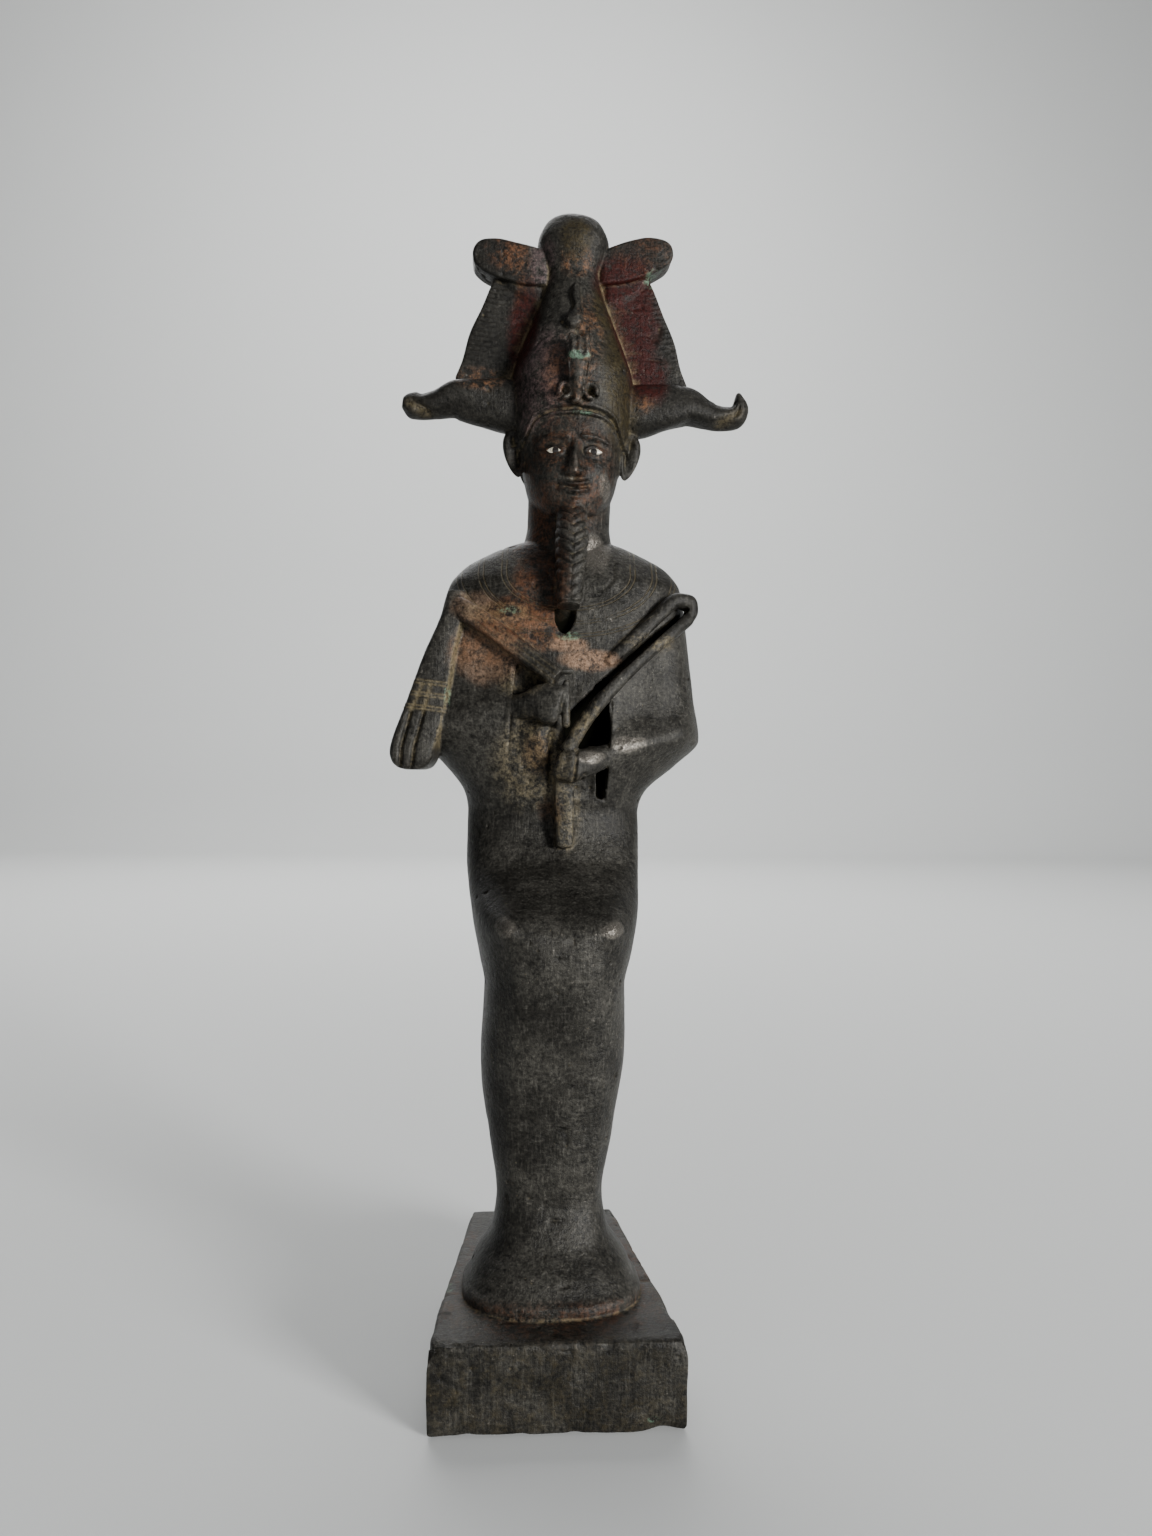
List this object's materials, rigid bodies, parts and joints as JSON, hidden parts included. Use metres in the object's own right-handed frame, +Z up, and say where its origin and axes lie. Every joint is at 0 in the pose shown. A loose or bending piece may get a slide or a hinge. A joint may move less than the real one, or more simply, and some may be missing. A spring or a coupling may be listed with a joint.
{
  "type": "seated osiris statue",
  "caption": "Small solid bronze of a seated, shrouded god in a tall plumed crown, holding crook and flail, cast in one with its tapered plinth.",
  "frame": {"origin": "middle of the plinth's flat underside", "axes": "+Z up, the figure faces -Y, +X towards the figure's own left hand, which holds the crook"},
  "size_m": [0.0668, 0.053, 0.21],
  "materials": {
    "bronze": "dark brown-black patina, worn bright on high points, with red and green corrosion",
    "inlay": "polished silver inlay"
  },
  "bodies": {
    "root": {"bronze_casting": "bronze", "eye_inlay_right": "inlay", "eye_inlay_left": "inlay"}
  },
  "joints": []
}
